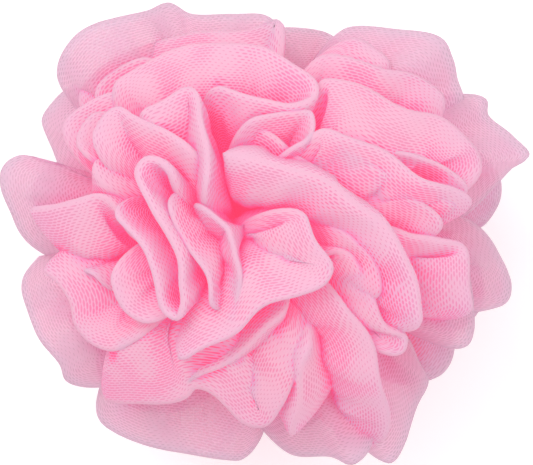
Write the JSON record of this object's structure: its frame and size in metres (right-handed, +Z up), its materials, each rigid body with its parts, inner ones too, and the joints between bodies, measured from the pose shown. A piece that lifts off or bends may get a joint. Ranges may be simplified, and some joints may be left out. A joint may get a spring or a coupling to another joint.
{
  "type": "body sponge",
  "caption": "Round bath sponge of soft net tube gathered and tied at its middle, so that it opens into a ball of doubled folds.",
  "frame": {"origin": "centre of the bounding box, on the surface that the ball rests on", "axes": "+X along the ball's longest way, +Y towards the upper edge of the picture, +Z up through the rosette of folds"},
  "size_m": [0.1481, 0.1299, 0.0959],
  "materials": {
    "netting": "soft open net, satin"
  },
  "bodies": {
    "root": {"netting": "netting"}
  },
  "joints": []
}
